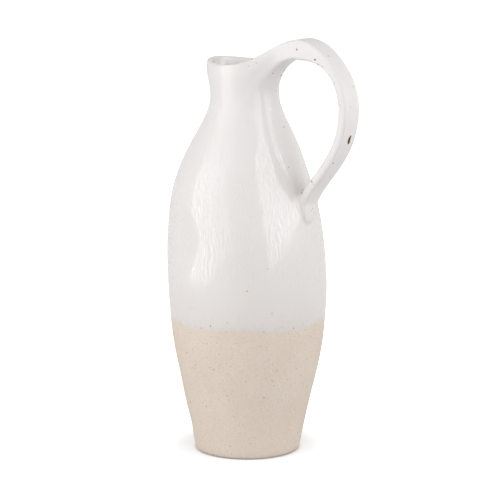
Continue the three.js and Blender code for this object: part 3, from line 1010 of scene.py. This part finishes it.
def makeGlaze():
    g = glazeLook
    material, tree, shader, place = newMaterial("whiteGlaze")
    split = addNode(tree, "ShaderNodeSeparateXYZ")
    join(tree, place, split.inputs["Vector"])
    colour, inSpot = addSpots(tree, place, glazeColour(tree, place, split.outputs["Z"]))
    join(tree, colour, shader.inputs["Base Color"])

    # soft sheen everywhere
    cloud = noiseNode(tree, place, g["cloudScale"], detail=3)
    join(tree, rangeNode(tree, cloud, *g["roughness"]), shader.inputs["Roughness"])

    # the dark spots are matt
    offSpot = mathNode(tree, "SUBTRACT", 1.0, inSpot)
    weight = times(tree, glazeGloss(tree, place, split), offSpot)
    join(tree, weight, shader.inputs["Coat Weight"])
    ripple = addBump(tree, shader, noiseNode(tree, place, g["rippleScale"]), g["ripple"])
    join(tree, ripple, shader.inputs["Coat Normal"])
    setInputs(shader, IOR=g["ior"], Specular_IOR_Level=g["specular"],
              Coat_IOR=g["coatIor"], Coat_Roughness=g["coatRoughness"])
    return material


clayLook = {
    "tan": srgb(224, 211.5, 198.5),
    "pale": srgb(227, 215.5, 202.5),
    "dark": srgb(122, 84, 56),
    "ochre": srgb(176, 130, 84),
    "light": srgb(236, 228, 216),
    "mottleScale": 30.0,
    "gritScale": 900.0, "gritRough": 0.7, "grit": (0.35, 0.75, 0.0, 0.2),
    # grains: cells, tones, how strong they get
    "grains": [
        ({"Scale": 620.0, "Share": 0.18, "Size": 0.24}, ("ochre", "dark"), 0.4),
        ({"Scale": 300.0, "Share": 0.08, "Size": 0.16}, ("dark", "ochre"), 0.65),
        ({"Scale": 430.0, "Share": 0.1, "Size": 0.26}, ("light", "pale"), 0.4)],
    "roughness": (0.2, 0.8, 0.8, 0.95), "specular": 0.25,
    "grain": 0.00012, "grainScale": 700.0, "grainRough": 0.65,
}


def makeClay():
    g = clayLook
    material, tree, shader, place = newMaterial("bareClay")
    tone = useGroup(tree, mottleGroup, place, Scale=g["mottleScale"]).outputs["Value"]
    colour = mixColour(tree, tone, g["tan"], g["pale"])
    grit = noiseNode(tree, place, g["gritScale"], rough=g["gritRough"])
    colour = mixColour(tree, rangeNode(tree, grit, *g["grit"]), colour, g["ochre"])
    for cells, tones, most in g["grains"]:
        grains = useGroup(tree, speckGroup, place, **cells).outputs
        shades = [g[label] for label in tones]
        colour = addSpecks(tree, colour, grains["Mask"], most, grains["Tone"], shades)
    join(tree, colour, shader.inputs["Base Color"])
    join(tree, rangeNode(tree, grit, *g["roughness"]), shader.inputs["Roughness"])
    grain = noiseNode(tree, place, g["grainScale"], detail=3, rough=g["grainRough"])
    addBump(tree, shader, grain, g["grain"])
    setInputs(shader, Specular_IOR_Level=g["specular"])
    return material


whiteGlaze = makeGlaze()
bareClay = makeClay()
clayBody.data.materials.append(bareClay)
glazeSkin.data.materials.append(whiteGlaze)
clayStrap.data.materials.append(bareClay)
print("materials set")

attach(clayBody, "root")
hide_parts("stoneware_body")
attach(clayStrap, "root")
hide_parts("strap_handle", "upper_slip_joint", "lower_slip_joint")
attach(glazeSkin, "root")
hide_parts("outer_glaze", "inner_glaze", "handle_glaze")
print("pieces seated on root")


# floor, world and lamps, lengths in metres

studio = {
    "floorSize": 9, "floorCells": 8, "floorSink": 0.0002,
    "floorAlbedo": (0.768, 0.776, 0.79), "mottleScale": 3.0, "paler": 1.02,
    # brings the lit floor up to white for the camera: distances, then the lift by the foot and further off
    "floorLift": (0.05, 0.11, 0.34, 0.9),
    "floorInGloss": (0.1, 1.5, 0.5, 0.58),
    "contact": (0.045, 0.051),  # the floor right under the heel stays dark
    "sky": 0.39, "skyInGloss": 1.0,
    # turn from the view line, distance, width, lowest and highest edge, roll, radiance
    "soft": {
        "left": (-64, 0.8, 0.8, 0.0, 1.15, 0, 1.53),
        "right": (70, 0.85, 0.9, 0.15, 1.1, 0, 1.43),
        "fill": (105, 1.0, 0.8, 0.1, 1.0, 0, 0.5),
        "front": (0, 1.4, 1.4, 0.75, 1.85, 0, 2.2),
    },
    "gloss": {
        "leftOuter": (-66, 0.818, 0.54, 0.0, 1.15, 10, 4.3),
        "leftInner": (-35.6, 0.844, 0.34, 0.1, 1.15, 10, 2.8),
        "rightStrip": (56.5, 0.85, 1.0, 0.18, 1.1, 13, 5.3),
    },
}


def seenDirectly(tree):
    path = addNode(tree, "ShaderNodeLightPath")
    return mathNode(tree, "MAXIMUM", path.outputs["Is Camera Ray"], path.outputs["Is Transmission Ray"])


def makePaper():
    s = studio
    material, tree, shader, place = newMaterial("floorPaper")
    paper = (*s["floorAlbedo"], 1)
    paler = (*[part * s["paler"] for part in s["floorAlbedo"]], 1)
    tint = mixColour(tree, noiseNode(tree, place, s["mottleScale"]), paper, paler)
    join(tree, tint, shader.inputs["Base Color"])
    setInputs(shader, Roughness=1.0, Specular_IOR_Level=0.0, Emission_Color=(1, 1, 1, 1))
    away = addNode(tree, "ShaderNodeVectorMath", operation="LENGTH")
    join(tree, place, away.inputs[0])
    lift, contact, inGloss = [rangeNode(tree, away.outputs["Value"], *s[label])
                              for label in ("floorLift", "contact", "floorInGloss")]
    lift = times(tree, lift, contact)
    direct = times(tree, seenDirectly(tree), lift)
    glossy = addNode(tree, "ShaderNodeLightPath").outputs["Is Glossy Ray"]
    inGloss = times(tree, glossy, inGloss)
    join(tree, mathNode(tree, "MAXIMUM", direct, inGloss), shader.inputs["Emission Strength"])
    return material


def makeFloor():
    s = studio
    bm = bmesh.new()
    bmesh.ops.create_grid(bm, x_segments=s["floorCells"], y_segments=s["floorCells"], size=s["floorSize"])
    bmesh.ops.translate(bm, vec=(0, 0, -s["floorSink"]), verts=bm.verts)
    floor = newPiece(bm, "studioFloor")
    floor.data.materials.append(makePaper())


def makeWorld():
    world = bpy.data.worlds.new("studioWorld")
    world.use_nodes = True
    tree = world.node_tree
    sky = tree.nodes["Background"]
    setInputs(sky, Color=(1, 1, 1, 1))
    glossy = addNode(tree, "ShaderNodeLightPath").outputs["Is Glossy Ray"]
    dim = rangeNode(tree, glossy, 0.0, 1.0, studio["sky"], studio["skyInGloss"])
    join(tree, mathNode(tree, "MAXIMUM", seenDirectly(tree), dim), sky.inputs["Strength"])
    bpy.context.scene.world = world


def makeLamp(name, use, turn, distance, width, low, high, roll, radiance):
    data = bpy.data.lights.new(name + "Box", "AREA")
    data.shape = "RECTANGLE"
    data.size, data.size_y = width, high - low
    data.energy = radiance * pi * width * (high - low)
    lamp = bpy.data.objects.new(name + "Box", data)
    bpy.context.scene.collection.objects.link(lamp)
    middle = Vector((0, 0, (low + high) / 2))
    away = towardsCamera * cos(radians(turn)) + viewRight * sin(radians(turn))
    lamp.location = away * distance + middle
    facing = (-away).to_track_quat("-Z", "Y").to_matrix()
    lamp.rotation_euler = (facing @ Matrix.Rotation(radians(roll), 3, "Z")).to_euler()
    lamp.visible_camera = False
    lamp.visible_glossy = use == "gloss"
    lamp.visible_diffuse = use == "soft"


makeFloor()
makeWorld()
for use in ("soft", "gloss"):
    for lampName, values in studio[use].items():
        makeLamp(lampName, use, *values)
bpy.context.scene.view_settings.view_transform = "Standard"
print("studio lit")

bpy.context.view_layer.update()
